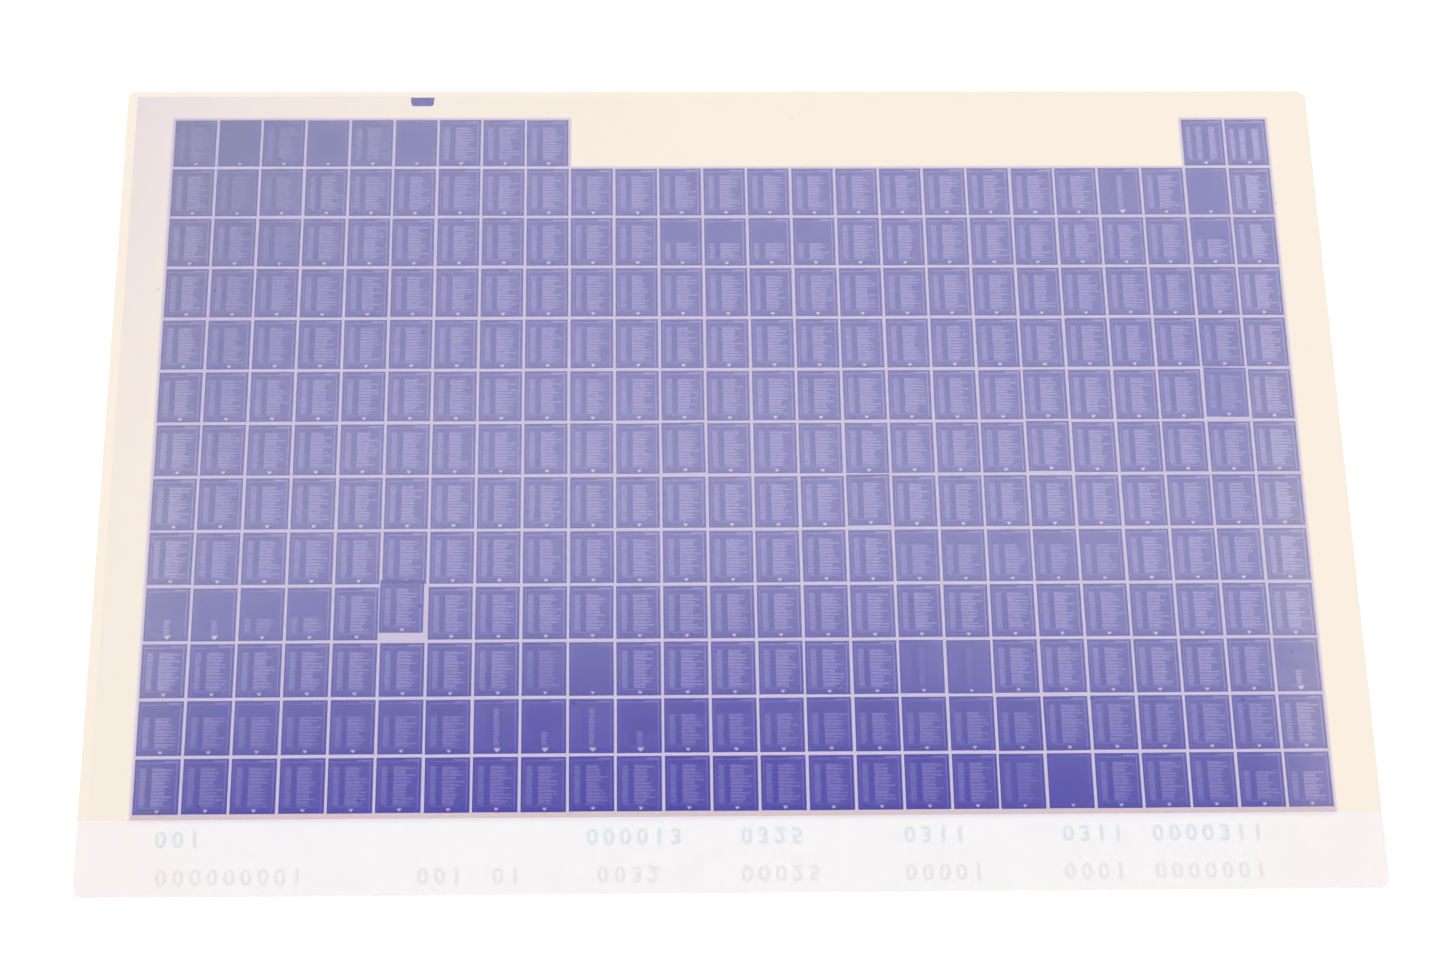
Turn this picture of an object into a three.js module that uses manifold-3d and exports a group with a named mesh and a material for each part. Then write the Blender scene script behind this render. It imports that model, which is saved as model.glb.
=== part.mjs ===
// A microfiche: one 105 by 148 mm sheet of clear film that holds page images at 1:42.
//
// It is built up as such a film is coated. The polyester base carries a thin image coat on its
// underside, in which blue dye forms the page images, the heading text and the cut mark. On top
// lie a clear backing coat and, along one long edge, the white stripe behind the heading text.
//
// Lengths are in millimetres. +X runs along the long side, +Y runs across the sheet away from
// the heading stripe, and +Z is up. The origin is the middle of the sheet's underside.

import * as THREE from 'three';
import { mergeVertices } from 'three/addons/utils/BufferGeometryUtils.js';
import Module from 'manifold-3d';

// Sheet: the A6 size of every standard microfiche, with rounded corners.
const SHEET_LENGTH = 148;
const SHEET_WIDTH = 105;
const CORNER_RADIUS = 1.3;
const CORNER_SEGMENTS = 8;

// Layers, from the underside up.
const IMAGE_COAT_THICKNESS = 0.01;
const BASE_THICKNESS = 0.175;
const BACK_COAT_THICKNESS = 0.005;
const STRIPE_THICKNESS = 0.02;
const STRIPE_WIDTH = 9;

// The bond between two layers, which keeps their faces apart.
const BOND_THICKNESS = 0.002;
const BASE_BOTTOM = IMAGE_COAT_THICKNESS + BOND_THICKNESS;

// The slots for the dyed areas are cut with solids that stand this far out of the image coat.
const CUT_CLEARANCE = 1;

// Page images: letter paper, 215.9 by 279.4 mm, made 42 times smaller.
const REDUCTION = 42;
const PAGE_WIDTH = 215.9 / REDUCTION;
const PAGE_HEIGHT = 279.4 / REDUCTION;
const COLUMNS = 25;
const ROW_LETTERS = 'abcdefghijklm';
const COLUMN_PITCH = 5.475;
const ROW_PITCH = 7.048;
const GRID_SHIFT = 0.34;
const ROW_A_CENTRE = -39.45;

// The last row is only partly filled: its first pages, then a gap, then the index pages.
const LAST_ROW_PAGES = 9;
const INDEX_PAGES = 2;

// Heading text: two lines of letters under the stripe, the outer line nearest the sheet's edge.
const TITLE_LEFT = -65.2;
const TITLE_RIGHT = 61.2;
const LETTER_HEIGHT = 2;
const TITLE_CENTRES = { title_line_outer: -50.25, title_line_inner: -45.75 };

// Cut mark: the tab that a film cutter reads, near the edge opposite the stripe.
const CUT_MARK = { left: -38.8, right: -35.8, near: 50.5, far: 51.75, taper: 0.15, corner: 0.35 };

const FINISHES = {
  clearFilm: { color: 0xf7efe0, roughness: 0.18, opacity: 0.45 },
  clearCoat: { color: 0xe9e2ea, roughness: 0.22, opacity: 0.5 },
  blueDye: { color: 0x6a66b8, roughness: 0.25, opacity: 1 },
  paleDye: { color: 0xbccbe4, roughness: 0.3, opacity: 1 },
  darkDye: { color: 0x4a46ac, roughness: 0.25, opacity: 1 },
  whiteStripe: { color: 0xf6f4f1, roughness: 0.5, opacity: 1 },
};

// ----- Outlines -----

// The x of a column's centre, counted from 0 at the left.
function columnCentre(column) {
  return GRID_SHIFT + (column - (COLUMNS - 1) / 2) * COLUMN_PITCH;
}

// A closed outline through the corners, counter-clockwise. A corner with a radius is rounded.
function outline(corners) {
  const path = new THREE.Shape();
  corners.forEach(([x, y, radius = 0], i) => {
    const [beforeX, beforeY] = corners.at(i - 1);
    const [afterX, afterY] = corners[(i + 1) % corners.length];
    const corner = new THREE.Vector2(x, y);
    const towards = (otherX, otherY) =>
      new THREE.Vector2(otherX - x, otherY - y).setLength(radius).add(corner);
    const start = radius ? towards(beforeX, beforeY) : corner;
    const end = radius ? towards(afterX, afterY) : corner;
    if (i === 0) path.moveTo(start.x, start.y);
    else path.lineTo(start.x, start.y);
    if (radius) path.quadraticCurveTo(x, y, end.x, end.y);
  });
  path.closePath();
  return path;
}

// A part of the sheet between two heights across it, with round corners at the sheet's ends.
function sheetOutline(near, far) {
  const left = -SHEET_LENGTH / 2;
  const right = SHEET_LENGTH / 2;
  const nearRadius = near === -SHEET_WIDTH / 2 ? CORNER_RADIUS : 0;
  const farRadius = far === SHEET_WIDTH / 2 ? CORNER_RADIUS : 0;
  return outline([
    [left, near, nearRadius],
    [right, near, nearRadius],
    [right, far, farRadius],
    [left, far, farRadius],
  ]);
}

// The stretch of a row of page images from one column to another.
function rowOutline(row, firstColumn, lastColumn) {
  const left = columnCentre(firstColumn) - PAGE_WIDTH / 2;
  const right = columnCentre(lastColumn) + PAGE_WIDTH / 2;
  const near = ROW_A_CENTRE + row * ROW_PITCH - PAGE_HEIGHT / 2;
  const far = near + PAGE_HEIGHT;
  return outline([[left, near], [right, near], [right, far], [left, far]]);
}

function titleOutline(centre) {
  const near = centre - LETTER_HEIGHT / 2;
  const far = centre + LETTER_HEIGHT / 2;
  return outline([[TITLE_LEFT, near], [TITLE_RIGHT, near], [TITLE_RIGHT, far], [TITLE_LEFT, far]]);
}

// The cut mark is a little narrower towards the page images, with two round corners there.
function cutMarkOutline({ left, right, near, far, taper, corner }) {
  return outline([
    [left + taper, near, corner],
    [right - taper, near, corner],
    [right, far],
    [left, far],
  ]);
}

// ----- Solids -----

const wasm = await Module();
wasm.setup();

function extrusion(path, bottom, thickness) {
  const options = { depth: thickness, bevelEnabled: false, curveSegments: CORNER_SEGMENTS };
  return new THREE.ExtrudeGeometry(path, options).translate(0, 0, bottom);
}

function piece(name, geometry, finish) {
  const transparent = finish.opacity < 1;
  const material = new THREE.MeshStandardMaterial({ ...finish, metalness: 0, transparent });
  const mesh = new THREE.Mesh(geometry, material);
  mesh.name = name;
  return mesh;
}

function toSolid(geometry) {
  const bare = geometry.clone().deleteAttribute('normal').deleteAttribute('uv');
  const merged = mergeVertices(bare);
  const vertProperties = merged.attributes.position.array;
  const triVerts = new Uint32Array(merged.index.array);
  return new wasm.Manifold(new wasm.Mesh({ numProp: 3, vertProperties, triVerts }));
}

function toGeometry(solid) {
  const { vertProperties, triVerts } = solid.getMesh();
  const geometry = new THREE.BufferGeometry();
  geometry.setAttribute('position', new THREE.BufferAttribute(vertProperties, 3));
  geometry.setIndex(new THREE.BufferAttribute(triVerts, 1));
  geometry.computeVertexNormals();
  return geometry;
}

// Everything that the dye draws in the image coat: { name, path, finish } for each area.
function dyedAreas() {
  const areas = [];
  const lastRow = ROW_LETTERS.length - 1;
  [...ROW_LETTERS].forEach((letter, row) => {
    const lastColumn = row === lastRow ? LAST_ROW_PAGES - 1 : COLUMNS - 1;
    const path = rowOutline(row, 0, lastColumn);
    areas.push({ name: `page_images_row_${letter}`, path, finish: FINISHES.blueDye });
  });
  const indexPath = rowOutline(lastRow, COLUMNS - INDEX_PAGES, COLUMNS - 1);
  areas.push({ name: 'index_page_images', path: indexPath, finish: FINISHES.blueDye });
  for (const [name, centre] of Object.entries(TITLE_CENTRES)) {
    areas.push({ name, path: titleOutline(centre), finish: FINISHES.paleDye });
  }
  areas.push({ name: 'cut_mark', path: cutMarkOutline(CUT_MARK), finish: FINISHES.darkDye });
  return areas;
}

// The image coat is one clear layer, open where a dyed area fills its whole thickness.
function imageCoat(areas) {
  const path = sheetOutline(-SHEET_WIDTH / 2, SHEET_WIDTH / 2);
  const cutDepth = IMAGE_COAT_THICKNESS + 2 * CUT_CLEARANCE;
  let coat = toSolid(extrusion(path, 0, IMAGE_COAT_THICKNESS));
  for (const area of areas) {
    coat = coat.subtract(toSolid(extrusion(area.path, -CUT_CLEARANCE, cutDepth)));
  }
  return piece('clear_image_coat', toGeometry(coat), FINISHES.clearCoat);
}

function dyedLayers(areas) {
  return areas.map(({ name, path, finish }) =>
    piece(name, extrusion(path, 0, IMAGE_COAT_THICKNESS), finish));
}

function filmBase() {
  const path = sheetOutline(-SHEET_WIDTH / 2, SHEET_WIDTH / 2);
  const geometry = extrusion(path, BASE_BOTTOM, BASE_THICKNESS);
  return piece('film_base', geometry, FINISHES.clearFilm);
}

// The backing coat and the heading stripe share the base's upper face, side by side.
function topCoats() {
  const bottom = BASE_BOTTOM + BASE_THICKNESS + BOND_THICKNESS;
  const border = STRIPE_WIDTH - SHEET_WIDTH / 2;
  const stripePath = sheetOutline(-SHEET_WIDTH / 2, border);
  const backingPath = sheetOutline(border, SHEET_WIDTH / 2);
  const stripe = extrusion(stripePath, bottom, STRIPE_THICKNESS);
  const backing = extrusion(backingPath, bottom, BACK_COAT_THICKNESS);
  return [
    piece('heading_stripe', stripe, FINISHES.whiteStripe),
    piece('backing_coat', backing, FINISHES.clearCoat),
  ];
}

const areas = dyedAreas();
const microfiche = new THREE.Group();
microfiche.add(imageCoat(areas), ...dyedLayers(areas), filmBase(), ...topCoats());

export default microfiche;
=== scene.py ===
"""A microfiche on a pale table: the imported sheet, with its 311 page images, title and finishes."""

import math
import random

import bpy
from mathutils import Matrix, Vector
from mathutils.geometry import delaunay_2d_cdt


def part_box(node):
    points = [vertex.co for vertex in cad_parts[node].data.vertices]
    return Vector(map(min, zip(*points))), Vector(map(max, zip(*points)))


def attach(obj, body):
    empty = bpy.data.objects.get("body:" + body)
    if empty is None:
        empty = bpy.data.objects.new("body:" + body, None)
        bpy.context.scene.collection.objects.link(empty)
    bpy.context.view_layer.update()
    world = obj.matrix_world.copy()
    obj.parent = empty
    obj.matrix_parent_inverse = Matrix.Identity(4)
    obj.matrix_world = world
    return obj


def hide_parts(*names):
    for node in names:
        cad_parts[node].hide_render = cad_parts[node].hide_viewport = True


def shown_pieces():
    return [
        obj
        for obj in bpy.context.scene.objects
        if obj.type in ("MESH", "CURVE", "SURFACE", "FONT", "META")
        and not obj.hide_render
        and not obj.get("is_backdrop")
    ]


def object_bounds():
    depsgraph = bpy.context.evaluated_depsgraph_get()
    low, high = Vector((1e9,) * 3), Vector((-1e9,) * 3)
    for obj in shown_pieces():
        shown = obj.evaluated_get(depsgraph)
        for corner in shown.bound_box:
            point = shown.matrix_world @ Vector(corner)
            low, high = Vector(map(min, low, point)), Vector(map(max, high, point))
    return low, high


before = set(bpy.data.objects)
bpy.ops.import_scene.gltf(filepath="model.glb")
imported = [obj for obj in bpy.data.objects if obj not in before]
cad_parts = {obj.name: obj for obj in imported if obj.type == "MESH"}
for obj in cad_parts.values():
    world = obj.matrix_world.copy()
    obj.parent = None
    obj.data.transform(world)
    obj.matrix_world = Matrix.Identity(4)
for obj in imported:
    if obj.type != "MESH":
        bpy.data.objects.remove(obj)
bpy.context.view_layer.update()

MM = 0.001
CLEAR = (1.0, 1.0, 1.0)
WHITE = (1.0, 1.0, 1.0)

# ----- The plan of the pages -----

# The page grid. Rows go by letter from the heading stripe outwards, columns from the left.
ROWS = "abcdefghijklm"
COLUMNS = 25
REDUCTION = 42
PAGE_WIDTH = 0.2159 / REDUCTION
PAGE_HEIGHT = 0.2794 / REDUCTION

# How far the camera that filmed the pages missed each place.
PLACE_ERROR = 0.018 * MM
TURN_ERROR = math.radians(0.12)

# Pages filmed clearly out of place: (row, column): (mm along, mm outwards, degrees turned).
STRAY_PAGES = {
    ("d", 5): (-0.2, 0.9, 0.0),
    ("h", 23): (0.0, 0.22, -0.7),
    ("g", 11): (0.0, 0.1, 0.9),
    ("g", 19): (0.0, 0.14, 0.0),
    ("f", 15): (0.0, 0.18, 0.3),
    ("k", 7): (0.05, 0.05, 0.2),
}

# The seed of the plan, and the end of the range of seeds that make each page's text its own.
PLAN_SEED = 311
PAGE_SEEDS_END = 999

# Kinds of page: (layout of type, share of the page filled from its head, contrast, arrow size).
FULL = ("parts", 1.0, 1.0, 1.0)
FAINT = ("parts", 1.0, 0.65, 0.9)
BLANK = ("parts", 0.0, 0.5, 0.9)
PALE_FULL = ("parts", 0.8, 0.8, 0.9)
NARROW = ("single", 1.0, 0.9, 1.45)
NARROW_FAINT = ("single", 1.0, 0.35, 0.9)
NARROW_SHORT = ("single", 0.36, 0.9, 1.45)
INDEX = ("index", 1.0, 1.0, 1.0)
INDEX_END = ("index", 0.93, 1.0, 1.0)


def part_filled(share, contrast=1.0):
    return ("parts", share, contrast, 1.0)


PAGE_KINDS = {
    "a": {18: FAINT, 19: BLANK, 23: part_filled(0.72), 24: part_filled(0.7)},
    "b": {
        **{column: part_filled(0.78, 0.9) for column in range(7)},
        **{column: part_filled(0.8, 0.9) for column in range(11, 19)},
        7: NARROW, 8: NARROW_SHORT, 9: NARROW, 10: NARROW_SHORT,
    },
    "c": {8: FAINT, 9: BLANK, 16: NARROW_FAINT, 17: NARROW_FAINT, 24: NARROW_SHORT},
    "d": {0: NARROW_SHORT, 1: NARROW_SHORT, 2: part_filled(0.4, 0.8), 3: part_filled(0.42, 0.8)},
    "e": {column: PALE_FULL for column in range(16, 21)},
    "h": {23: FAINT},
    "k": {2: FAINT, 11: part_filled(0.5), 12: part_filled(0.48), 13: part_filled(0.46),
          14: part_filled(0.45), 23: part_filled(0.55)},
    "l": {1: FAINT, 2: FAINT, 21: NARROW, 23: BLANK},
    "m": {0: FAINT, 1: BLANK, 2: FAINT, 3: BLANK, 4: FAINT, 5: BLANK,
          23: INDEX, 24: INDEX_END},
}

# The first rows were exposed a little less evenly than the rest, with less contrast.
ROW_CONTRAST = {"a": 0.8, "b": 0.85}

# ----- The layout of a page -----

# Places on a page are shares of its width, from its left, and of its height, from its head.
# Columns of type in each layout: (left, right, how far long lines run past it, brightness).
TYPE_COLUMNS = {
    "parts": ((0.12, 0.24, 0.02, 0.7), (0.385, 0.64, 0.24, 1.0)),
    "single": ((0.44, 0.56, 0.04, 1.0),),
    "index": ((0.11, 0.2, 0.02, 1.0), (0.33, 0.47, 0.02, 1.0), (0.65, 0.8, 0.02, 1.0)),
}
LAYOUTS = tuple(TYPE_COLUMNS)
LAYOUT_MATERIALS = {
    "parts": "parts_pages",
    "single": "single_column_pages",
    "index": "index_pages",
}
BODY_TOP = 0.14
BODY_HEIGHT = 0.71

# The body's type goes by lines and words. Of each entry's four lines, 0 and 1 are long, 2 is short
# and 3 is a gap.
TYPED_LINES = 66
TYPED_CHARACTERS = 96
WORD_LENGTH = 5.0
ENTRY_LINES = 4
LONG_LINES_END = 1.5
GAP_START = 2.5

# How far a short line runs past its column next to a long one, and how bright each thing is.
SHORT_LINE_REACH = 0.3
SHORT_LINE_FILL = 0.8
PAST_COLUMN_FILL = 0.8
FAINTEST_WORD = 0.7
GAP_DARKNESS = 0.35
GAP_DARKNESS_AT_RIGHT = 0.85

# What surrounds the body: ((left, right), (top, bottom), brightness). The footer is a little tilted.
HEADINGS = ((0.14, 0.86), (0.105, 0.125), 0.5)
RULES = (
    ((0.05, 0.07), (0.05, 0.935), 0.35),
    ((0.92, 0.942), (0.05, 0.935), 0.85),
    ((0.06, 0.94), (0.92, 0.938), 0.6),
)
FOOTER = ((0.64, 0.97), (0.945, 0.966), 1.1)
FOOTER_TILT = 0.04
FOOTER_TILT_CENTRE = 0.8

# The arrow at the page's head, measured from its tip towards its base, and the bar beyond its base.
ARROW_MIDDLE = 0.53
ARROW_TIP = 0.03
ARROW_HEIGHT = 0.045
ARROW_SLOPE = 1.05
ARROW_BLUNTNESS = 0.008
BAR_HALF_WIDTH = 0.05
BAR_REACH = (0.05, 0.06)
BAR_BRIGHTNESS = 0.5

# A veil over the page: inside its rim, beside the main column, and uneven within and between pages.
RIM = ((0.035, 0.965), (0.03, 0.97))
BESIDE_TYPE = ((0.07, 0.27), (0.62, 0.92))
RIM_VEIL = 0.05
BESIDE_VEIL = 0.08
UNEVEN_VEIL = 0.08
PAGE_VEIL = 0.05
TYPE_WEIGHT = 0.85

# Salts keep the chances that are drawn for one page apart.
COLUMN_SALT = 10.0
REACH_SALT = 0.0
SHORT_REACH_SALT = 1.0
GAP_SALT = 2.0
FOOTER_SALT = 8.0
VEIL_SALTS = (3.0, 5.0)

# ----- The title -----

# Title digits under the stripe: node, then each group of digits and the mm where it starts.
TITLE_GROUPS = {
    "title_line_outer": (
        ("000000001", -65.0), ("001", -35.75), ("01", -27.3), ("0032", -15.5),
        ("00025", 0.75), ("00001", 19.25), ("0001", 37.25), ("0000001", 47.5),
    ),
    "title_line_inner": (
        ("001", -65.25), ("000013", -16.75), ("0325", 0.75),
        ("0311", 19.25), ("0311", 37.25), ("0000311", 47.5),
    ),
}
TITLE_PITCH = 1.9 * MM
TITLE_HEIGHT = 2.0 * MM
TITLE_WIDTH = 1.45 * MM

# The digits' outlines: how slim one is that has the full width, how far they are thickened, and
# how finely their curves are stepped.
USUAL_SLIMNESS = 0.72
TITLE_BOLD = 0.03
CURVE_STEPS = 3

# ----- The finishes -----

# How each layer tints what lies behind it, as red, green and blue. The sheet lies on the table, so
# light from there has crossed each layer twice, and these are the tints of both crossings. The
# sheet casts no shadow: its tinted shade on the table is painted into these tints.
FILM_TINT = (0.91, 0.82, 0.715)
FILM_TINT_LOWEST = 0.975
PAGE_DYE = (0.058, 0.055, 0.62)
PAGE_TYPE = (0.3, 0.276, 0.88)
PAGE_ARROW = (0.64, 0.62, 0.97)
GRID_FOG = (0.665, 0.655, 0.955)
# The pinker tint beside the heading stripe is partly fog and partly painted shade of the stripe.
HEADER_FOG_AND_SHADE = (0.73, 0.655, 0.8)
MASTER_FOG = (0.84, 0.82, 1.0)
MASTER_FOG_ON_DYE = (0.4, 0.45, 0.6)
CUT_MARK_DYE = (0.055, 0.08, 0.57)
TITLE_DYES = {"title_line_outer": (0.72, 0.70, 0.62), "title_line_inner": (0.5, 0.68, 0.74)}

# Where two pages overlap the dye is denser, as a power of its tint. Plain dye is uneven by a share.
OVERLAP_DENSITY = 1.25
CUT_MARK_VARIATION = 0.08
TITLE_VARIATION = 0.06

# How much each layer mirrors straight on, in which colour, and how rough its face is. Dense dye
# mirrors more than clear lacquer. At a slant the outer face mirrors more, by a power of how far
# the face is turned away, which an even setting gives as it is.
BACKING_MIRROR = 0.001
COAT_MIRROR = 0.01
PAGE_MIRROR = 0.225
CUT_MARK_MIRROR = 0.14
PAGE_SHINE = (0.81, 1.0, 0.86)
FILM_ROUGHNESS = 0.06
COAT_ROUGHNESS = 0.08
BACKING_ROUGHNESS = 0.06
STREAK_ROUGHNESS = 0.04
CLOUD_ROUGHNESS = 0.06
SLANT_POWER = 5.0
EVEN_FACING = 0.5

# Near the short ends, most of all near the heading, the pages carry a painted sheen: a white diffuse
# share that stands in for the brighter reflection of the studio there. Given are how far the grid
# ends from the sheet's ends, how far in from there the painted sheen reaches, over which heights
# across the sheet it fades and by how much, and what share of the light it scatters left and right.
# The type there is also paler, by a share.
MARGIN_WIDTH = 6.0 * MM
END_FADE_LENGTH = 8.0 * MM
PAINTED_SHEEN_HEIGHTS = (-20.0 * MM, 35.0 * MM)
PAINTED_SHEEN_DROP = 0.8
PAINTED_SHEEN_LEFT = 0.06
PAINTED_SHEEN_RIGHT = 0.12
PAINTED_SHEEN_COLOUR = (0.9, 0.9, 0.9)
END_PALENESS = 0.6

# The master lay this far inside the film's edges. The fog from its corner fades over these lengths,
# along the sheet and across it. Where it is strongest, it takes this share of the type's contrast.
MASTER_INSET_X = 1.2 * MM
MASTER_INSET_Y = 0.7 * MM
MASTER_EDGE = 0.15 * MM
FOG_LENGTH_X = 25.0 * MM
FOG_LENGTH_Y = 45.0 * MM
FOG_FLATTENING = 0.6

# How softly the fog around the pages ends.
EXPOSURE_EDGE = 0.55 * MM

# Dust on the film: how far apart its specks might be, how large they get and how many there are.
DUST_SPACING = 6.0 * MM
DUST_RADIUS = 0.22 * MM
DUST_SHARE = 0.12
DUST_OPACITY = 0.5
DUST_TINT = (0.45, 0.45, 0.5)

# The stripe's white paint: its darkest and palest clouds, and a warmer tone towards its ends, which
# starts the first length from an end and is full at the second. The paint hides this much of what
# is under it, a little unevenly.
STRIPE_WHITES = ((0.8, 0.835, 0.92), (0.82, 0.855, 0.94))
STRIPE_END_WHITE = (0.85, 0.81, 0.86)
STRIPE_END_SHARE = 0.8
STRIPE_END_LENGTHS = (22.0 * MM, 4.0 * MM)
STRIPE_HIDING = 0.6
STRIPE_HIDING_RANGE = 0.02
STRIPE_ROUGHNESS = 0.4
STRIPE_ROUGHNESS_RANGE = 0.12
STRIPE_IOR = 1.4
STRIPE_BUMP_STRENGTH = 0.25
STRIPE_BUMP_HEIGHT = 0.02 * MM

TABLE_WHITES = ((0.95, 0.95, 0.95), (0.96, 0.96, 0.96))
TABLE_ROUGHNESS = 0.9

# Noise: (features per metre, how many finer octaves they carry). Stretched noise has its features
# per metre along and across the sheet.
FILM_CLOUDS = (35.0, 3.0)
BACKING_CLOUDS = (60.0, 4.0)
PAGE_CLOUDS = (130.0, 3.0)
DYE_CLOUDS = (900.0, 3.0)
STRIPE_CLOUDS = (90.0, 4.0)
STRIPE_GRAIN = (9000.0, 2.0)
TABLE_CLOUDS = (3.0, 3.0)
BACKING_STREAKS = (40.0, 900.0)
ROLLER_LINES = (60.0, 1500.0)
STRETCHED_OCTAVES = 2.0

# ----- The studio -----

# Camera: the angle, distance and lens of the photograph.
CAMERA_AZIMUTH = math.radians(-4.06)
CAMERA_ELEVATION = math.radians(64.98)
CAMERA_ROLL = math.radians(3.441)
CAMERA_DISTANCE = 0.3856
CAMERA_LENS = 80.83
CAMERA_CLIP_START = 0.01
CAMERA_TARGET_OFFSET = Vector((-0.55 * MM, -1.59 * MM, 0.0))

# A pale table lies a hair under the sheet, in a bright tent. Around the camera the tent has a dark
# opening with a faint seam outside it. Cones are (full within, gone beyond), in degrees from the
# opening's middle.
TABLE_GAP = 0.02 * MM
TABLE_SIZE = 6.0
TENT_STRENGTH = 1.5
SEAM_STRENGTH = 0.88
OPENING_STRENGTH = 0.14
BACKDROP_STRENGTH = 1.02
OPENING_AZIMUTH = math.radians(-5.0)
OPENING_ELEVATION = math.radians(100.0)
OPENING_CONE = (28.8, 35.0)
SEAM_INNER_CONE = (35.5, 38.0)
SEAM_OUTER_CONE = (38.5, 41.0)

# Cutting the plan: the signs of a rectangle's corners, counter-clockwise, how many digits of a
# metre tell two corners apart, and, in millimetres, how close two cut points may be. The cut keeps
# what lies inside its loops.
RECTANGLE = ((-1, -1), (1, -1), (1, 1), (-1, 1))
CORNER_DIGITS = 8
CUT_TOLERANCE = 1e-5
KEEP_INSIDE = 1


# ----- Node maths -----

class Wire:
    """One value in a node tree, so that its maths reads as ordinary arithmetic."""

    def __init__(self, tree, socket):
        self.tree = tree
        self.socket = socket

    def maths(self, operation, *others):
        made = self.tree.nodes.new("ShaderNodeMath")
        made.operation = operation
        for slot, value in zip(made.inputs, (self, *others)):
            plug(self.tree, slot, value)
        return Wire(self.tree, made.outputs[0])

    def __add__(self, other):
        return self.maths("ADD", other)

    def __sub__(self, other):
        return self.maths("SUBTRACT", other)

    def __rsub__(self, other):
        return self.maths("MULTIPLY", -1.0) + other

    def __mul__(self, other):
        return self.maths("MULTIPLY", other)

    def __truediv__(self, other):
        return self.maths("DIVIDE", other)

    def __gt__(self, other):
        return self.maths("GREATER_THAN", other)

    def __lt__(self, other):
        return self.maths("LESS_THAN", other)

    __radd__ = __add__
    __rmul__ = __mul__

    def floor(self):
        return self.maths("FLOOR")

    def fraction(self):
        return self.maths("FRACT")

    def distance_from(self, other):
        return (self - other).maths("ABSOLUTE")

    def between(self, low, high):
        return (self > low) * (self < high)

    def larger(self, other):
        return self.maths("MAXIMUM", other)


def plug(tree, slot, value):
    """Links a wire to a socket, or sets a plain value on it. A plain colour gets its alpha."""
    if isinstance(value, Wire):
        tree.links.new(value.socket, slot)
    elif slot.type == "RGBA":
        slot.default_value = (*value, 1.0)
    else:
        slot.default_value = value


def node(tree, kind, output=0, inputs=None, **settings):
    """A new node with its settings and inputs, as the wire of one of its outputs."""
    made = tree.nodes.new(kind)
    for name, value in settings.items():
        setattr(made, name, value)
    for name, value in (inputs or {}).items():
        plug(tree, made.inputs[name], value)
    return Wire(tree, made.outputs[output])


def split(tree, whole):
    """The x, y and z of a vector."""
    made = tree.nodes.new("ShaderNodeSeparateXYZ")
    plug(tree, made.inputs[0], whole)
    return [Wire(tree, part) for part in made.outputs]


def vector(tree, x=0.0, y=0.0, z=0.0):
    return node(tree, "ShaderNodeCombineXYZ", inputs={"X": x, "Y": y, "Z": z})


def attribute(tree, name):
    return node(tree, "ShaderNodeAttribute", "Fac", attribute_name=name)


def place(tree):
    """The point's own place on the sheet, in metres."""
    return node(tree, "ShaderNodeTexCoord", "Object")


def noise(tree, texture):
    scale, octaves = texture
    return node(tree, "ShaderNodeTexNoise", "Fac", {
        "Scale": scale, "Detail": octaves, "Vector": place(tree)})


def stretched_noise(tree, features):
    """Noise with its own number of features per metre along the sheet and across it."""
    x, y, _ = split(tree, place(tree))
    along, across = features
    return node(tree, "ShaderNodeTexNoise", "Fac", {
        "Scale": 1.0, "Detail": STRETCHED_OCTAVES, "Vector": vector(tree, x * along, y * across)})


def chance(tree, x, y, z=0.0):
    """An even random number from 0 to 1 for each whole x, y and z."""
    return node(tree, "ShaderNodeTexWhiteNoise", "Value", {"Vector": vector(tree, x, y, z)})


def mix_colours(tree, share, first, second, blend_type="MIX"):
    made = tree.nodes.new("ShaderNodeMix")
    made.data_type = "RGBA"
    made.blend_type = blend_type
    made.clamp_factor = True
    plug(tree, made.inputs["Factor"], share)
    colours = [slot for slot in made.inputs if slot.type == "RGBA"]
    for slot, value in zip(colours, (first, second)):
        plug(tree, slot, value)
    return Wire(tree, next(out for out in made.outputs if out.type == "RGBA"))


def blend(tree, share, first, second):
    """A colour between two others."""
    return mix_colours(tree, share, first, second)


def tinted(tree, first, second):
    """Two tints, one behind the other."""
    return mix_colours(tree, 1.0, first, second, "MULTIPLY")


def mix_shaders(tree, share, first, second):
    made = tree.nodes.new("ShaderNodeMixShader")
    for slot, value in zip(made.inputs, (share, first, second)):
        plug(tree, slot, value)
    return Wire(tree, made.outputs[0])


def smooth_step(tree, value, start, end):
    """0 at the start and 1 at the end, easing in between."""
    return node(tree, "ShaderNodeMapRange", inputs={
        "Value": value, "From Min": start, "From Max": end}, interpolation_type="SMOOTHSTEP")


def soft_box(tree, x, y, low, high, edge):
    """1 inside a box on the sheet, fading to 0 over an edge of the given width around it."""
    share = smooth_step(tree, x, low[0] - edge, low[0])
    share = share * smooth_step(tree, x, high[0] + edge, high[0])
    share = share * smooth_step(tree, y, low[1] - edge, low[1])
    return share * smooth_step(tree, y, high[1] + edge, high[1])


# ----- Materials -----

def new_material(name):
    material = bpy.data.materials.new(name)
    material.use_nodes = True
    material.node_tree.nodes.clear()
    return material, material.node_tree


def output(tree, shader):
    made = tree.nodes.new("ShaderNodeOutputMaterial")
    plug(tree, made.inputs["Surface"], shader)


def front_only(tree, front):
    """The given shader on the front of a layer. Its back only lets through."""
    back = node(tree, "ShaderNodeBsdfTransparent")
    backfacing = node(tree, "ShaderNodeNewGeometry", "Backfacing")
    return mix_shaders(tree, backfacing, front, back)


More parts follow.
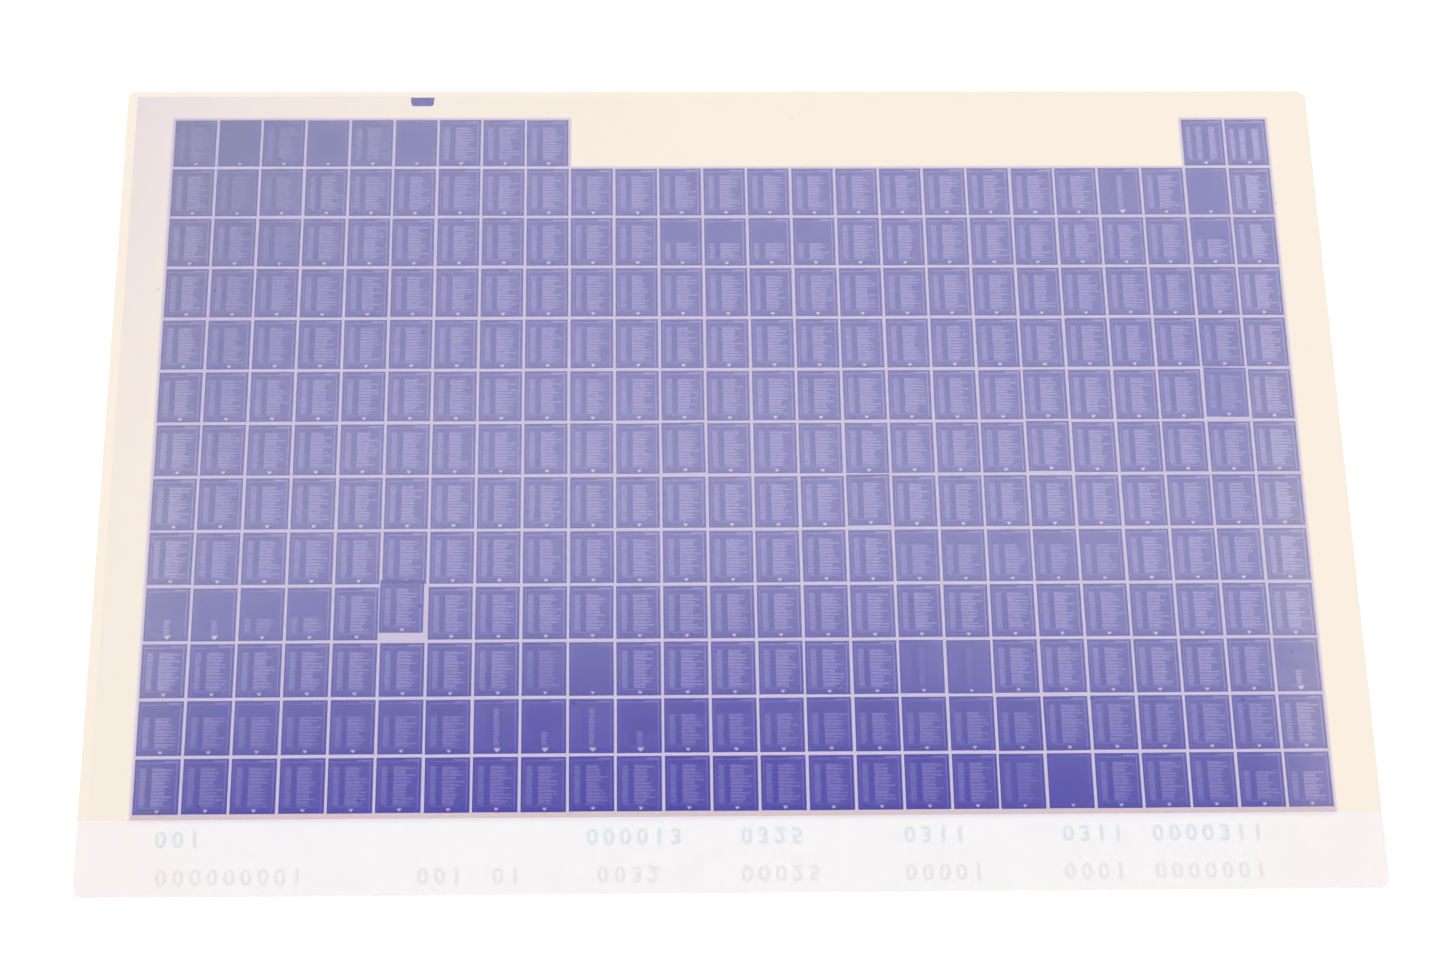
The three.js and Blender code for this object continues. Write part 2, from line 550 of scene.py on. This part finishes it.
def clear_front(tree, tint, mirror, roughness, shine=CLEAR):
    """A see-through face that tints what is behind it and mirrors a share of the studio."""
    through = node(tree, "ShaderNodeBsdfTransparent", inputs={"Color": tint})
    gloss = node(tree, "ShaderNodeBsdfGlossy", inputs={"Color": shine, "Roughness": roughness})
    return mix_shaders(tree, mirror, through, gloss)


def outer_mirror(tree, straight_on):
    """What an outer face mirrors: a share straight on, and more and more of it at a slant."""
    slant = node(tree, "ShaderNodeLayerWeight", "Facing", {"Blend": EVEN_FACING})
    return slant.maths("POWER", SLANT_POWER) * (1.0 - straight_on) + straight_on


def dust(tree):
    """1 on a few tiny specks, each well away from the next."""
    cells = tree.nodes.new("ShaderNodeTexVoronoi")
    cells.voronoi_dimensions = "2D"
    plug(tree, cells.inputs["Vector"], place(tree))
    plug(tree, cells.inputs["Scale"], 1.0 / DUST_SPACING)
    size_luck, presence_luck, _ = split(tree, Wire(tree, cells.outputs["Color"]))
    within = Wire(tree, cells.outputs["Distance"]) < size_luck * (DUST_RADIUS / DUST_SPACING)
    return within * (presence_luck < DUST_SHARE)


def film_material():
    """Polyester base: faintly cream and a little uneven. It mirrors nothing where it is coated."""
    material, tree = new_material("clear_film")
    lowest = tuple(channel * FILM_TINT_LOWEST for channel in FILM_TINT)
    tint = blend(tree, noise(tree, FILM_CLOUDS), lowest, FILM_TINT)
    dusty = blend(tree, dust(tree) * DUST_OPACITY, tint, DUST_TINT)
    output(tree, front_only(tree, clear_front(tree, dusty, 0.0, FILM_ROUGHNESS)))
    return material


def backing_material():
    """Backing coat: the glossy upper face, with rolled streaks and fine rubs in its shine."""
    material, tree = new_material("backing_coat")
    streaks = stretched_noise(tree, BACKING_STREAKS) * STREAK_ROUGHNESS
    clouds = noise(tree, BACKING_CLOUDS) * CLOUD_ROUGHNESS
    roughness = streaks + clouds + BACKING_ROUGHNESS
    mirror = outer_mirror(tree, BACKING_MIRROR)
    output(tree, front_only(tree, clear_front(tree, CLEAR, mirror, roughness)))
    return material


def master_fog(tree, x, y):
    """The fog under the master's corner, strongest there and fading away from it."""
    low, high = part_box("film_base")
    master_low = (low.x + MASTER_INSET_X, low.y)
    master_high = (high.x, high.y - MASTER_INSET_Y)
    master = soft_box(tree, x, y, master_low, master_high, MASTER_EDGE)
    away = (x - low.x) / FOG_LENGTH_X + (high.y - y) / FOG_LENGTH_Y
    return master * (away * -1.0).maths("EXPONENT")


def exposed_area(tree, x, y):
    """1 where the pages and the heading were exposed, gaps included."""
    full_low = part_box("page_images_row_a")[0].copy()
    full_low.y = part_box("heading_stripe")[1].y
    full_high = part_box("page_images_row_l")[1]
    exposed = soft_box(tree, x, y, full_low, full_high, EXPOSURE_EDGE)
    for name in ("page_images_row_m", "index_page_images"):
        exposed = exposed.larger(soft_box(tree, x, y, *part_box(name), EXPOSURE_EDGE))
    return exposed


def coat_material():
    """Clear image coat: a lavender fog where pages were exposed and under the master's corner, and
    a pinker one between the pages and the heading stripe, which is partly fog and partly painted shade
    of the stripe."""
    material, tree = new_material("clear_coat")
    x, y, _ = split(tree, place(tree))
    # Between the pages and the heading stripe the tint is pinker, partly fog and partly painted shade
    # of the stripe.
    in_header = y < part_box("page_images_row_a")[0].y
    fog = blend(tree, in_header, GRID_FOG, HEADER_FOG_AND_SHADE)
    fogged = blend(tree, exposed_area(tree, x, y), CLEAR, fog)
    cornered = blend(tree, master_fog(tree, x, y), CLEAR, MASTER_FOG)
    tint = tinted(tree, fogged, cornered)
    output(tree, front_only(tree, clear_front(tree, tint, COAT_MIRROR, COAT_ROUGHNESS)))
    return material


class Page:
    """The places on a page that its patterns are drawn by, and the numbers of its own."""

    def __init__(self, tree):
        self.tree = tree
        self.across, self.down, _ = split(tree, node(tree, "ShaderNodeUVMap", uv_map="page"))
        self.seed = attribute(tree, "page_seed")
        self.filled = attribute(tree, "page_filled")
        self.contrast = attribute(tree, "page_contrast")
        self.arrow_size = attribute(tree, "page_arrow_size")
        self.overlap = attribute(tree, "page_overlap")
        self.line = (self.down * float(TYPED_LINES)).floor()
        entries = self.line / float(ENTRY_LINES)
        self.entry = entries.floor()
        self.line_of_entry = entries.fraction() * float(ENTRY_LINES)
        word = (self.across * (TYPED_CHARACTERS / WORD_LENGTH)).floor()
        luck = chance(tree, word, self.line, self.seed)
        self.words = luck * (1.0 - FAINTEST_WORD) + FAINTEST_WORD

    def patch(self, across, down):
        """1 between two places across the page and two down it."""
        return self.across.between(*across) * self.down.between(*down)

    def typed(self, left, right, ragged, brightness, salt):
        """A column of typed lines. Each entry is two long lines, a short one and a gap, which is
        darkest at the right, where the line before it has already ended."""
        tree = self.tree
        long_line = self.line_of_entry < LONG_LINES_END
        long_reach = chance(tree, self.entry, self.seed, salt + REACH_SALT) * ragged
        short_reach = chance(tree, self.line, self.seed, salt + SHORT_REACH_SALT)
        short_reach = short_reach * (SHORT_LINE_REACH * ragged)
        end = long_line * long_reach + (1.0 - long_line) * short_reach + right
        fill = long_line * (1.0 - SHORT_LINE_FILL) + SHORT_LINE_FILL
        column = self.across.between(left, right) * fill
        beyond = self.across.between(right, end) * PAST_COLUMN_FILL
        cut = chance(tree, self.entry, self.seed, salt + GAP_SALT) * (right - left) + left
        at_right = self.across > cut
        darkness = at_right * (GAP_DARKNESS_AT_RIGHT - GAP_DARKNESS) + GAP_DARKNESS
        gap = (self.line_of_entry > GAP_START) * darkness
        return (column + beyond) * (1.0 - gap) * self.words * brightness

    def in_body(self):
        """1 where the page's text area is, from its head down to where this page's text ends."""
        return self.down.between(BODY_TOP, self.filled * BODY_HEIGHT + BODY_TOP)

    def rules(self):
        """The thin light rules along the sides and foot of each page, and its footer text."""
        tilt = (chance(self.tree, self.seed, FOOTER_SALT) - 0.5) * FOOTER_TILT
        (left, right), (top, bottom), brightness = FOOTER
        tilted_down = self.down + (self.across - FOOTER_TILT_CENTRE) * tilt
        drawn = self.across.between(left, right) * tilted_down.between(top, bottom) * brightness
        for across, down, brightness in RULES:
            drawn = drawn.larger(self.patch(across, down) * brightness)
        return drawn

    def headings(self):
        """Two lines of column headings over the body, wider than the columns themselves."""
        across, down, brightness = HEADINGS
        return self.patch(across, down) * self.words * brightness

    def arrow(self):
        """The bright arrow at the head of each page, which points to the heading stripe."""
        height = (self.down - ARROW_TIP) / self.arrow_size
        from_middle = self.across.distance_from(ARROW_MIDDLE) / self.arrow_size
        half_width = (height + ARROW_BLUNTNESS) * ARROW_SLOPE
        head = (from_middle < half_width) * height.between(0.0, ARROW_HEIGHT)
        bar = (from_middle < BAR_HALF_WIDTH) * height.between(*BAR_REACH)
        return head.larger(bar * BAR_BRIGHTNESS)

    def veil(self):
        """The thin veil over all of the page but its rim, a little stronger beside its type."""
        tree = self.tree
        first, second = BESIDE_TYPE
        beside = self.across.between(*first).larger(self.across.between(*second)) * self.in_body()
        veil = self.patch(*RIM) * RIM_VEIL + beside * BESIDE_VEIL
        uneven = noise(tree, PAGE_CLOUDS) * UNEVEN_VEIL
        return veil + uneven + chance(tree, self.seed, *VEIL_SALTS) * PAGE_VEIL


def near_ends(tree, x):
    """1 at the ends of the page grid, fading to 0 a page or two further in."""
    grid_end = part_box("film_base")[1].x - MARGIN_WIDTH
    return smooth_step(tree, x.maths("ABSOLUTE"), grid_end - END_FADE_LENGTH, grid_end)


def painted_end_sheen(tree, x, y):
    """How much of the light the painted sheen scatters: most at the sheet's short ends."""
    fade = 1.0 - smooth_step(tree, y, *PAINTED_SHEEN_HEIGHTS) * PAINTED_SHEEN_DROP
    share = (x > 0.0) * (PAINTED_SHEEN_RIGHT - PAINTED_SHEEN_LEFT) + PAINTED_SHEEN_LEFT
    return near_ends(tree, x) * fade * share


def page_material(name, columns):
    """Blue dye in the coat, with lighter typed matter in the given columns."""
    material, tree = new_material(name)
    x, y, _ = split(tree, place(tree))
    page = Page(tree)
    typed = None
    for number, column in enumerate(columns):
        drawn = page.typed(*column, COLUMN_SALT * number)
        typed = drawn if typed is None else typed.larger(drawn)
    drawn = (typed * page.in_body()).larger(page.rules()).larger(page.headings())
    fog_share = master_fog(tree, x, y)
    paler = near_ends(tree, x) * END_PALENESS + 1.0
    clearness = 1.0 - fog_share * FOG_FLATTENING
    type_share = drawn * page.contrast * paler * clearness * TYPE_WEIGHT
    once = 1.0 - page.overlap
    twice_dyed = tuple(channel ** OVERLAP_DENSITY for channel in PAGE_DYE)
    dyed = blend(tree, page.overlap, PAGE_DYE, twice_dyed)
    with_type = blend(tree, (type_share + page.veil()) * once, dyed, PAGE_TYPE)
    with_arrow = blend(tree, page.arrow() * once, with_type, PAGE_ARROW)
    fog = blend(tree, fog_share, CLEAR, MASTER_FOG_ON_DYE)
    front = clear_front(tree, tinted(tree, with_arrow, fog), PAGE_MIRROR, COAT_ROUGHNESS, PAGE_SHINE)
    # A white diffuse share near the short ends is painted sheen, standing in for the brighter
    # reflection there.
    painted_sheen = node(tree, "ShaderNodeBsdfDiffuse", inputs={"Color": PAINTED_SHEEN_COLOUR})
    output(tree, front_only(tree, mix_shaders(tree, painted_end_sheen(tree, x, y), front, painted_sheen)))
    return material


def dye_material(name, dye, variation, mirror):
    """Plain dye in the coat, a little uneven in density."""
    material, tree = new_material(name)
    lightest = tuple(channel + (1.0 - channel) * variation for channel in dye)
    tint = blend(tree, noise(tree, DYE_CLOUDS), dye, lightest)
    output(tree, front_only(tree, clear_front(tree, tint, mirror, COAT_ROUGHNESS)))
    return material


def stripe_material():
    """White stripe: a satin pigment coat, thin enough for the title to show faintly through."""
    material, tree = new_material("white_stripe")
    x, _, _ = split(tree, place(tree))
    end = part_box("heading_stripe")[1].x
    near_end = smooth_step(tree, x.maths("ABSOLUTE"), *(end - length for length in STRIPE_END_LENGTHS))
    clouds = noise(tree, STRIPE_CLOUDS)
    white = blend(tree, clouds, *STRIPE_WHITES)
    warm = blend(tree, near_end * STRIPE_END_SHARE, white, STRIPE_END_WHITE)
    grain = noise(tree, STRIPE_GRAIN)
    relief = (grain + stretched_noise(tree, ROLLER_LINES)) * 0.5
    bump = node(tree, "ShaderNodeBump", inputs={
        "Strength": STRIPE_BUMP_STRENGTH, "Distance": STRIPE_BUMP_HEIGHT, "Height": relief})
    paint = node(tree, "ShaderNodeBsdfPrincipled", inputs={
        "Base Color": warm, "Normal": bump, "IOR": STRIPE_IOR,
        "Roughness": clouds * STRIPE_ROUGHNESS_RANGE + STRIPE_ROUGHNESS})
    through = node(tree, "ShaderNodeBsdfTransparent")
    hiding = (grain - 0.5) * STRIPE_HIDING_RANGE + STRIPE_HIDING
    output(tree, front_only(tree, mix_shaders(tree, hiding, through, paint)))
    return material


def table_material():
    material, tree = new_material("table")
    paint = node(tree, "ShaderNodeBsdfPrincipled", inputs={
        "Base Color": blend(tree, noise(tree, TABLE_CLOUDS), *TABLE_WHITES),
        "Roughness": TABLE_ROUGHNESS, "Specular IOR Level": 0.0})
    output(tree, paint)
    return material


# ----- The plan of the image coat -----

def rectangle(width, height):
    """The corners of a rectangle around the origin, counter-clockwise."""
    return [Vector((x * width / 2, y * height / 2, 0.0)) for x, y in RECTANGLE]


def outline_of(name):
    """The corners of a convex node, seen from above, counter-clockwise."""
    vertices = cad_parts[name].data.vertices
    corners = {(round(v.co.x, CORNER_DIGITS), round(v.co.y, CORNER_DIGITS)) for v in vertices}
    middle = sum((Vector(corner) for corner in corners), Vector((0.0, 0.0))) / len(corners)
    return sorted((Vector(corner) for corner in corners),
                  key=lambda corner: math.atan2(*reversed(corner - middle)))


def column_pitch():
    low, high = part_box("page_images_row_a")
    return (high.x - low.x - PAGE_WIDTH) / (COLUMNS - 1)


def column_count(name):
    """How many pages a node has room for."""
    low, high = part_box(name)
    return round((high.x - low.x - PAGE_WIDTH) / column_pitch()) + 1


def filled_columns(row):
    """The columns of a row that hold a page: from the left, and in the last row the index too."""
    columns = list(range(column_count(f"page_images_row_{row}")))
    if row == ROWS[-1]:
        columns += range(COLUMNS - column_count("index_page_images"), COLUMNS)
    return columns


def page_matrix(row, column, draw):
    """Where a page lies on the sheet, a little off its place in the grid."""
    along = draw.gauss(0.0, PLACE_ERROR)
    outwards = draw.gauss(0.0, PLACE_ERROR)
    turn = draw.gauss(0.0, TURN_ERROR)
    if (row, column) in STRAY_PAGES:
        stray_along, stray_outwards, stray_turn = STRAY_PAGES[row, column]
        along += stray_along * MM
        outwards += stray_outwards * MM
        turn += math.radians(stray_turn)
    low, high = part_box(f"page_images_row_{row}")
    x = low.x + PAGE_WIDTH / 2 + column * column_pitch() + along
    y = (low.y + high.y) / 2 + outwards
    return Matrix.Translation((x, y, 0.0)) @ Matrix.Rotation(turn, 4, "Z")


def page_plan():
    """Every page image: its row, its place as a matrix on the sheet, and its look."""
    draw = random.Random(PLAN_SEED)
    pages = []
    for row in ROWS:
        for column in filled_columns(row):
            matrix = page_matrix(row, column, draw)
            layout, filled, contrast, arrow_size = PAGE_KINDS.get(row, {}).get(column, FULL)
            pages.append({
                "row": row,
                "place": matrix,
                "layout": layout,
                "page_filled": filled,
                "page_contrast": contrast * ROW_CONTRAST.get(row, 1.0),
                "page_arrow_size": arrow_size,
                "page_seed": draw.randrange(1, PAGE_SEEDS_END),
            })
    return pages


def page_corners(page):
    return [(page["place"] @ corner).xy for corner in rectangle(PAGE_WIDTH, PAGE_HEIGHT)]


def digit_shape(digit):
    """A digit as flat polygons, one unit wide and high around its middle, and how slim it is."""
    curve = bpy.data.curves.new("digit", "FONT")
    curve.body = digit
    curve.resolution_u = CURVE_STEPS
    curve.offset = TITLE_BOLD
    text = bpy.data.objects.new("digit", curve)
    bpy.context.scene.collection.objects.link(text)
    mesh = bpy.data.meshes.new_from_object(text)
    bpy.data.objects.remove(text)
    left, right = (limit(v.co.x for v in mesh.vertices) for limit in (min, max))
    foot, head = (limit(v.co.y for v in mesh.vertices) for limit in (min, max))
    points = [((v.co.x - left) / (right - left) - 0.5, (v.co.y - foot) / (head - foot) - 0.5)
              for v in mesh.vertices]
    polygons = [[points[corner] for corner in face.vertices] for face in mesh.polygons]
    bpy.data.meshes.remove(mesh)
    return polygons, (right - left) / (head - foot)


def title_polygons(node_name):
    """The digits of a title line, mirrored, because the coat is seen from behind."""
    low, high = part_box(node_name)
    middle = (low + high) / 2
    polygons = []
    for digits, start in TITLE_GROUPS[node_name]:
        for number, digit in enumerate(digits):
            shape, slimness = digit_shape(digit)
            width = TITLE_WIDTH * min(1.0, slimness / USUAL_SLIMNESS)
            x = start * MM + TITLE_WIDTH / 2 + number * TITLE_PITCH
            for polygon in shape:
                placed = [Vector((x + along * width, middle.y - up * TITLE_HEIGHT))
                          for along, up in polygon]
                polygons.append(list(reversed(placed)))
    return polygons


def partition(loops):
    """Cuts the sheet along closed loops, each (owner, points). Gives the points of the cut, and
    each triangle with the owners of the loops around it."""
    points, faces = [], []
    for _, loop in loops:
        faces.append(list(range(len(points), len(points) + len(loop))))
        points.extend(loop)
    scaled = [point / MM for point in points]
    cut = delaunay_2d_cdt(scaled, [], faces, KEEP_INSIDE, CUT_TOLERANCE)
    made, _, triangles, _, _, inside = cut
    owners = [[loops[loop][0] for loop in around] for around in inside]
    return [point * MM for point in made], list(zip(triangles, owners))


# ----- Shapes -----

def solid_layer(name, points, triangles, heights, values=None, page_of=None):
    """One closed solid between two heights from triangles on the sheet, with values per triangle.
    Triangles of different pages don't join. Gives its mesh and the triangle behind each face."""
    used = sorted({corner for triangle in triangles for corner in triangle})
    new_of = {old: new for new, old in enumerate(used)}
    count = len(used)
    vertices = [(*points[old], height) for height in heights for old in used]
    faces, owners, edges = [], [], {}
    for number, triangle in enumerate(triangles):
        corners = [new_of[old] for old in triangle]
        faces.append([corner + count for corner in corners])
        faces.append(list(reversed(corners)))
        owners += [number, number]
        page = page_of[number] if page_of else None
        for start, end in zip(corners, corners[1:] + corners[:1]):
            edges[start, end, page] = number
    for (start, end, page), number in edges.items():
        if (end, start, page) not in edges:
            faces.append([start, end, end + count, start + count])
            owners.append(number)
    mesh = bpy.data.meshes.new(name)
    mesh.from_pydata(vertices, [], faces)
    for key, numbers in (values or {}).items():
        made = mesh.attributes.new(key, "FLOAT", "FACE")
        made.data.foreach_set("value", [float(numbers[owner]) for owner in owners])
    mesh.update()
    return mesh, owners


def add_piece(name, mesh, materials, replaced):
    """Adds a piece that stands for a CAD node."""
    piece = bpy.data.objects.new(name, mesh)
    bpy.context.scene.collection.objects.link(piece)
    for material in materials:
        mesh.materials.append(material)
    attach(piece, "root")
    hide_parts(replaced)


def map_pages(mesh, owners, page_of, members):
    """Gives each face its page's material and its own place on that page."""
    uv = mesh.uv_layers.new(name="page")
    inverses = [page["place"].inverted() for page, _ in members]
    for face, owner in zip(mesh.polygons, owners):
        page = page_of[owner]
        face.material_index = LAYOUTS.index(members[page][0]["layout"])
        for corner in face.loop_indices:
            at = inverses[page] @ mesh.vertices[mesh.loops[corner].vertex_index].co
            uv.data[corner].uv = (at.x / PAGE_WIDTH + 0.5, at.y / PAGE_HEIGHT + 0.5)


def build_pages(node_name, members, points, heights, page_looks):
    """One row of page images, each a thin dyed tile with its own pattern numbers."""
    triangles, page_of = [], []
    keys = ("page_seed", "page_filled", "page_contrast", "page_arrow_size")
    values = {key: [] for key in (*keys, "page_overlap")}
    for number, (page, own) in enumerate(members):
        for triangle, overlaps in own:
            triangles.append(triangle)
            page_of.append(number)
            values["page_overlap"].append(overlaps)
            for key in keys:
                values[key].append(page[key])
    name = f"{node_name}_dyed"
    mesh, owners = solid_layer(name, points, triangles, heights, values, page_of)
    map_pages(mesh, owners, page_of, members)
    add_piece(name, mesh, page_looks, node_name)


def cut_coat(pages):
    """Cuts the plan of the coat. Gives its points, its clear triangles, and for every dyed area its
    own triangles, each with whether a second area overlaps it."""
    loops = [("film_base", outline_of("film_base")), ("cut_mark", outline_of("cut_mark"))]
    loops += [(number, page_corners(page)) for number, page in enumerate(pages)]
    for node_name in TITLE_GROUPS:
        loops += [(node_name, polygon) for polygon in title_polygons(node_name)]
    points, triangles = partition(loops)
    clear, dyed = [], {}
    for triangle, owners in triangles:
        marked = [owner for owner in owners if owner != "film_base"]
        if marked:
            dyed.setdefault(marked[0], []).append((triangle, len(marked) > 1))
        else:
            clear.append(triangle)
    return points, clear, dyed


def build_image_coat(coat_look, title_looks, page_looks):
    """The clear coat, page images and title digits, cut from one plan so that none overlap. The cut
    mark stays as its CAD node and only gets its opening."""
    pages = page_plan()
    points, clear, dyed = cut_coat(pages)
    low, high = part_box("clear_image_coat")
    heights = (low.z, high.z)
    mesh, _ = solid_layer("clear_image_coat_film", points, clear, heights)
    add_piece("clear_image_coat_film", mesh, [coat_look], "clear_image_coat")
    for node_name, look in title_looks.items():
        flat = [triangle for triangle, _ in dyed[node_name]]
        mesh, _ = solid_layer(f"{node_name}_digits", points, flat, heights)
        add_piece(f"{node_name}_digits", mesh, [look], node_name)
    rows = {}
    for number, page in enumerate(pages):
        row_name = f"page_images_row_{page['row']}"
        node_name = "index_page_images" if page["layout"] == "index" else row_name
        rows.setdefault(node_name, []).append((page, dyed[number]))
    for node_name, members in rows.items():
        build_pages(node_name, members, points, heights, page_looks)


def finish_node(name, material):
    """Gives a CAD node its finish."""
    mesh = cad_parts[name].data
    mesh.materials.clear()
    mesh.materials.append(material)


def build_sheet():
    """Cuts the image coat into its real pieces and finishes the layers over it."""
    title_looks = {
        name: dye_material(f"{name}_dye", dye, TITLE_VARIATION, COAT_MIRROR)
        for name, dye in TITLE_DYES.items()
    }
    page_looks = [page_material(LAYOUT_MATERIALS[layout], TYPE_COLUMNS[layout]) for layout in LAYOUTS]
    build_image_coat(coat_material(), title_looks, page_looks)
    finish_node("film_base", film_material())
    finish_node("backing_coat", backing_material())
    finish_node("heading_stripe", stripe_material())
    cut_mark_look = dye_material("mark_dye", CUT_MARK_DYE, CUT_MARK_VARIATION, CUT_MARK_MIRROR)
    finish_node("cut_mark", cut_mark_look)


def lay_flat():
    """The sheet lies on what it is on and casts no shadow: its shade on the table is painted into its
    tint, which counts only for the eye.
    """
    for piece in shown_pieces():
        piece.visible_shadow = False
        piece.visible_diffuse = False


# ----- Studio -----

def direction(azimuth, elevation):
    """A unit vector towards a compass azimuth, 0 being +Y, and an elevation, in radians."""
    return Vector((
        math.sin(azimuth) * math.cos(elevation),
        math.cos(azimuth) * math.cos(elevation),
        math.sin(elevation),
    ))


def build_camera():
    low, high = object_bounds()
    target = (low + high) / 2 + CAMERA_TARGET_OFFSET
    back = direction(math.pi - CAMERA_AZIMUTH, CAMERA_ELEVATION)
    lens = bpy.data.cameras.new("camera")
    lens.lens = CAMERA_LENS
    lens.clip_start = CAMERA_CLIP_START
    camera = bpy.data.objects.new("camera", lens)
    bpy.context.scene.collection.objects.link(camera)
    aim = (-back).to_track_quat("-Z", "Y").to_matrix().to_4x4()
    roll = Matrix.Rotation(CAMERA_ROLL, 4, "Z")
    camera.matrix_world = Matrix.Translation(target + back * CAMERA_DISTANCE) @ aim @ roll
    bpy.context.scene.camera = camera


def build_table(material):
    low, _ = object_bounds()
    down = Vector((0.0, 0.0, low.z - TABLE_GAP))
    corners = [corner + down for corner in rectangle(TABLE_SIZE, TABLE_SIZE)]
    mesh = bpy.data.meshes.new("table")
    mesh.from_pydata(corners, [], [[0, 1, 2, 3]])
    mesh.materials.append(material)
    table = bpy.data.objects.new("table", mesh)
    bpy.context.scene.collection.objects.link(table)
    table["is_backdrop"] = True


def cone(tree, towards, axis, limits):
    """1 within the first of two angles from an axis, fading to 0 at the second, in degrees."""
    inner, outer = (math.cos(math.radians(limit)) for limit in limits)
    near = node(tree, "ShaderNodeVectorMath", "Value", {0: towards, 1: axis},
                operation="DOT_PRODUCT")
    return smooth_step(tree, near, outer, inner)


def build_world():
    """A light tent with a faint seam, and a dark opening with soft edges above the camera."""
    world = bpy.data.worlds.new("studio")
    bpy.context.scene.world = world
    world.use_nodes = True
    tree = world.node_tree
    tree.nodes.clear()
    towards = node(tree, "ShaderNodeTexCoord", "Generated")
    axis = direction(OPENING_AZIMUTH, OPENING_ELEVATION)
    opening = cone(tree, towards, axis, OPENING_CONE)
    seam = cone(tree, towards, axis, SEAM_OUTER_CONE) - cone(tree, towards, axis, SEAM_INNER_CONE)
    wall = (1.0 - seam * (1.0 - SEAM_STRENGTH)) * TENT_STRENGTH
    strength = wall * (1.0 - opening) + opening * OPENING_STRENGTH
    lit = node(tree, "ShaderNodeBackground", inputs={"Color": WHITE, "Strength": strength})
    backdrop = node(tree, "ShaderNodeBackground", inputs={
        "Color": WHITE, "Strength": BACKDROP_STRENGTH})
    seen = node(tree, "ShaderNodeLightPath", "Is Camera Ray")
    out = tree.nodes.new("ShaderNodeOutputWorld")
    plug(tree, out.inputs["Surface"], mix_shaders(tree, seen, lit, backdrop))
    bpy.context.scene.view_settings.view_transform = "Standard"


build_camera()
build_world()
build_sheet()
lay_flat()
build_table(table_material())
